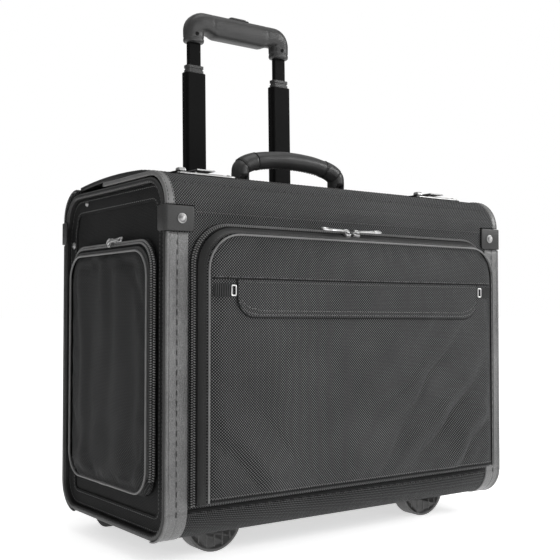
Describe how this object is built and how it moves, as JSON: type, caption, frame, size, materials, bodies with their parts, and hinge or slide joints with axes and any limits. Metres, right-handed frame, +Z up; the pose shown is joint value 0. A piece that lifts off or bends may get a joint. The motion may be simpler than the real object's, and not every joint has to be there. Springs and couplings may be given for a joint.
{
  "type": "pilot rolling flight case",
  "caption": "Hard-sided nylon flight case with fold-over lids, zipped pockets, carry handle, telescopic trolley, rear wheels and front feet.",
  "frame": {"origin": "on the floor, at the centre of the whole object's plan box", "axes": "+Z up, the front pocket faces -Y, +X to the right seen from the front"},
  "size_m": [0.4818, 0.2745, 0.633],
  "materials": {
    "nylon": "woven",
    "vinyl": "satin grain",
    "leather": "grained",
    "lining": "matte",
    "black_plastic": "fine texture",
    "grey_plastic": "satin",
    "black_aluminium": "satin anodised",
    "chrome": "polished",
    "tyre": "matte"
  },
  "bodies": {
    "case": {"front_board": "nylon", "bottom_board": "nylon", "rear_board": "nylon", "left_end_board": "nylon", "right_end_board": "nylon", "left_end_rim": "vinyl", "right_end_rim": "vinyl", "corner_strips": "leather", "corner_tabs": "leather", "tab_rivets": "chrome", "rear_shoulder": "nylon", "trolley_bezel": "black_plastic", "left_post_housing": "black_aluminium", "right_post_housing": "black_aluminium", "housing_foot_plate": "grey_plastic", "front_feet": "black_plastic", "foot_screws": "chrome", "wheel_cups": "black_plastic", "wheel_axles": "chrome", "divider_panel": "lining", "front_pocket": "nylon", "web_loops": "chrome", "left_side_pocket": "nylon", "right_side_pocket": "nylon"},
    "pocket_flap": {"pocket_flap": "nylon"},
    "front_lid": {"front_lid_board": "nylon", "front_lid_binding": "vinyl", "lock_cases": "chrome"},
    "rear_lid": {"rear_lid_board": "nylon", "rear_lid_binding": "vinyl", "hasp_hinges": "chrome", "handle_mounts": "chrome"},
    "left_hasp": {"left_hasp": "chrome"},
    "right_hasp": {"right_hasp": "chrome"},
    "left_lock_slide": {"left_lock_slide": "chrome"},
    "right_lock_slide": {"right_lock_slide": "chrome"},
    "carry_handle": {"handle_grip": "leather", "handle_loops": "chrome"},
    "left_wheel": {"left_wheel_hub": "black_plastic", "left_wheel_tyre": "tyre"},
    "right_wheel": {"right_wheel_hub": "black_plastic", "right_wheel_tyre": "tyre"},
    "trolley_outer": {"outer_tubes": "black_aluminium", "outer_tube_bushes": "black_plastic"},
    "trolley_middle": {"middle_tubes": "black_aluminium", "middle_collars": "black_plastic"},
    "trolley_inner": {"inner_tubes": "black_aluminium", "trolley_grip": "grey_plastic", "grip_screws": "chrome"},
    "release_button": {"release_button": "black_plastic", "release_rods": "chrome"},
    "front_left_zip_slider": {"front_left_zip_slider": "chrome"},
    "front_right_zip_slider": {"front_right_zip_slider": "chrome"},
    "left_zip_slider": {"left_zip_slider": "chrome"},
    "right_zip_slider": {"right_zip_slider": "chrome"},
    "front_left_zip_pull": {"front_left_zip_pull": "chrome"},
    "front_right_zip_pull": {"front_right_zip_pull": "chrome"},
    "left_zip_pull": {"left_zip_pull": "chrome"},
    "right_zip_pull": {"right_zip_pull": "chrome"}
  },
  "joints": [
    {"name": "rear_lid_hinge", "type": "hinge", "parent": "case", "child": "rear_lid", "pos_m": [0, 0.0991, 0.3893], "axis": [-1, 0, 0], "range_deg": [0, 65]},
    {"name": "front_lid_hinge", "type": "hinge", "parent": "case", "child": "front_lid", "pos_m": [0, -0.11175, 0.3515], "axis": [1, 0, 0], "range_deg": [0, 30]},
    {"name": "pocket_flap_hinge", "type": "hinge", "parent": "case", "child": "pocket_flap", "pos_m": [0, -0.13615, 0.2795], "axis": [-1, 0, 0], "range_deg": [0, 120]},
    {"name": "left_hasp_hinge", "type": "hinge", "parent": "rear_lid", "child": "left_hasp", "pos_m": [-0.167, -0.04875, 0.39381], "axis": [-1, 0, 0], "range_deg": [0, 110]},
    {"name": "left_lock_slide_travel", "type": "slide", "parent": "front_lid", "child": "left_lock_slide", "axis": [1, 0, 0], "range_m": [0, 0.007], "stiffness_N_per_m": 120, "springref_m": -0.003},
    {"name": "left_wheel_spin", "type": "hinge", "parent": "case", "child": "left_wheel", "pos_m": [-0.186, 0.10725, 0.03], "axis": [1, 0, 0], "continuous": true},
    {"name": "right_hasp_hinge", "type": "hinge", "parent": "rear_lid", "child": "right_hasp", "pos_m": [0.167, -0.04875, 0.39381], "axis": [-1, 0, 0], "range_deg": [0, 110]},
    {"name": "right_lock_slide_travel", "type": "slide", "parent": "front_lid", "child": "right_lock_slide", "axis": [1, 0, 0], "range_m": [0, 0.007], "stiffness_N_per_m": 120, "springref_m": -0.003},
    {"name": "right_wheel_spin", "type": "hinge", "parent": "case", "child": "right_wheel", "pos_m": [0.186, 0.10725, 0.03], "axis": [1, 0, 0], "continuous": true},
    {"name": "carry_handle_hinge", "type": "hinge", "parent": "rear_lid", "child": "carry_handle", "pos_m": [0, 0.00625, 0.40076], "axis": [1, 0, 0], "range_deg": [-58, 58]},
    {"name": "trolley_outer_slide", "type": "slide", "parent": "case", "child": "trolley_outer", "axis": [0, 0.0209, 0.9998], "range_m": [-0.16, 0.04]},
    {"name": "trolley_middle_slide", "type": "slide", "parent": "trolley_outer", "child": "trolley_middle", "axis": [0, 0.0209, 0.9998], "range_m": [0, 0.17]},
    {"name": "trolley_inner_slide", "type": "slide", "parent": "trolley_middle", "child": "trolley_inner", "axis": [0, 0.0209, 0.9998], "range_m": [-0.028, 0.17]},
    {"name": "release_button_press", "type": "slide", "parent": "trolley_inner", "child": "release_button", "axis": [0, -0.0209, -0.9998], "range_m": [0, 0.005], "stiffness_N_per_m": 600, "springref_m": -0.003},
    {"name": "front_left_zip_travel", "type": "slide", "parent": "case", "child": "front_left_zip_slider", "axis": [-1, 0, 0], "range_m": [0, 0.135]},
    {"name": "front_right_zip_travel", "type": "slide", "parent": "case", "child": "front_right_zip_slider", "axis": [1, 0, 0], "range_m": [0, 0.155]},
    {"name": "front_left_zip_pull_hinge", "type": "hinge", "parent": "front_left_zip_slider", "child": "front_left_zip_pull", "pos_m": [-0.02, -0.12584, 0.33566], "axis": [0, 0.8866, 0.4626], "range_deg": [0, 150]},
    {"name": "front_right_zip_pull_hinge", "type": "hinge", "parent": "front_right_zip_slider", "child": "front_right_zip_pull", "pos_m": [-0.008, -0.12584, 0.33566], "axis": [0, -0.8866, -0.4626], "range_deg": [0, 150]},
    {"name": "left_zip_travel", "type": "slide", "parent": "case", "child": "left_zip_slider", "axis": [0, -1, 0], "range_m": [-0.055, 0.055]},
    {"name": "left_zip_pull_hinge", "type": "hinge", "parent": "left_zip_slider", "child": "left_zip_pull", "pos_m": [-0.23918, 0.00525, 0.32213], "axis": [-0.3808, 0, -0.9247], "range_deg": [0, 150]},
    {"name": "right_zip_travel", "type": "slide", "parent": "case", "child": "right_zip_slider", "axis": [0, -1, 0], "range_m": [-0.055, 0.055]},
    {"name": "right_zip_pull_hinge", "type": "hinge", "parent": "right_zip_slider", "child": "right_zip_pull", "pos_m": [0.23918, 0.00525, 0.32213], "axis": [-0.3808, 0, 0.9247], "range_deg": [0, 150]}
  ],
  "couplings": [
    {"joint": "front_lid_hinge", "follows": "rear_lid_hinge", "ratio": 0.46}
  ]
}
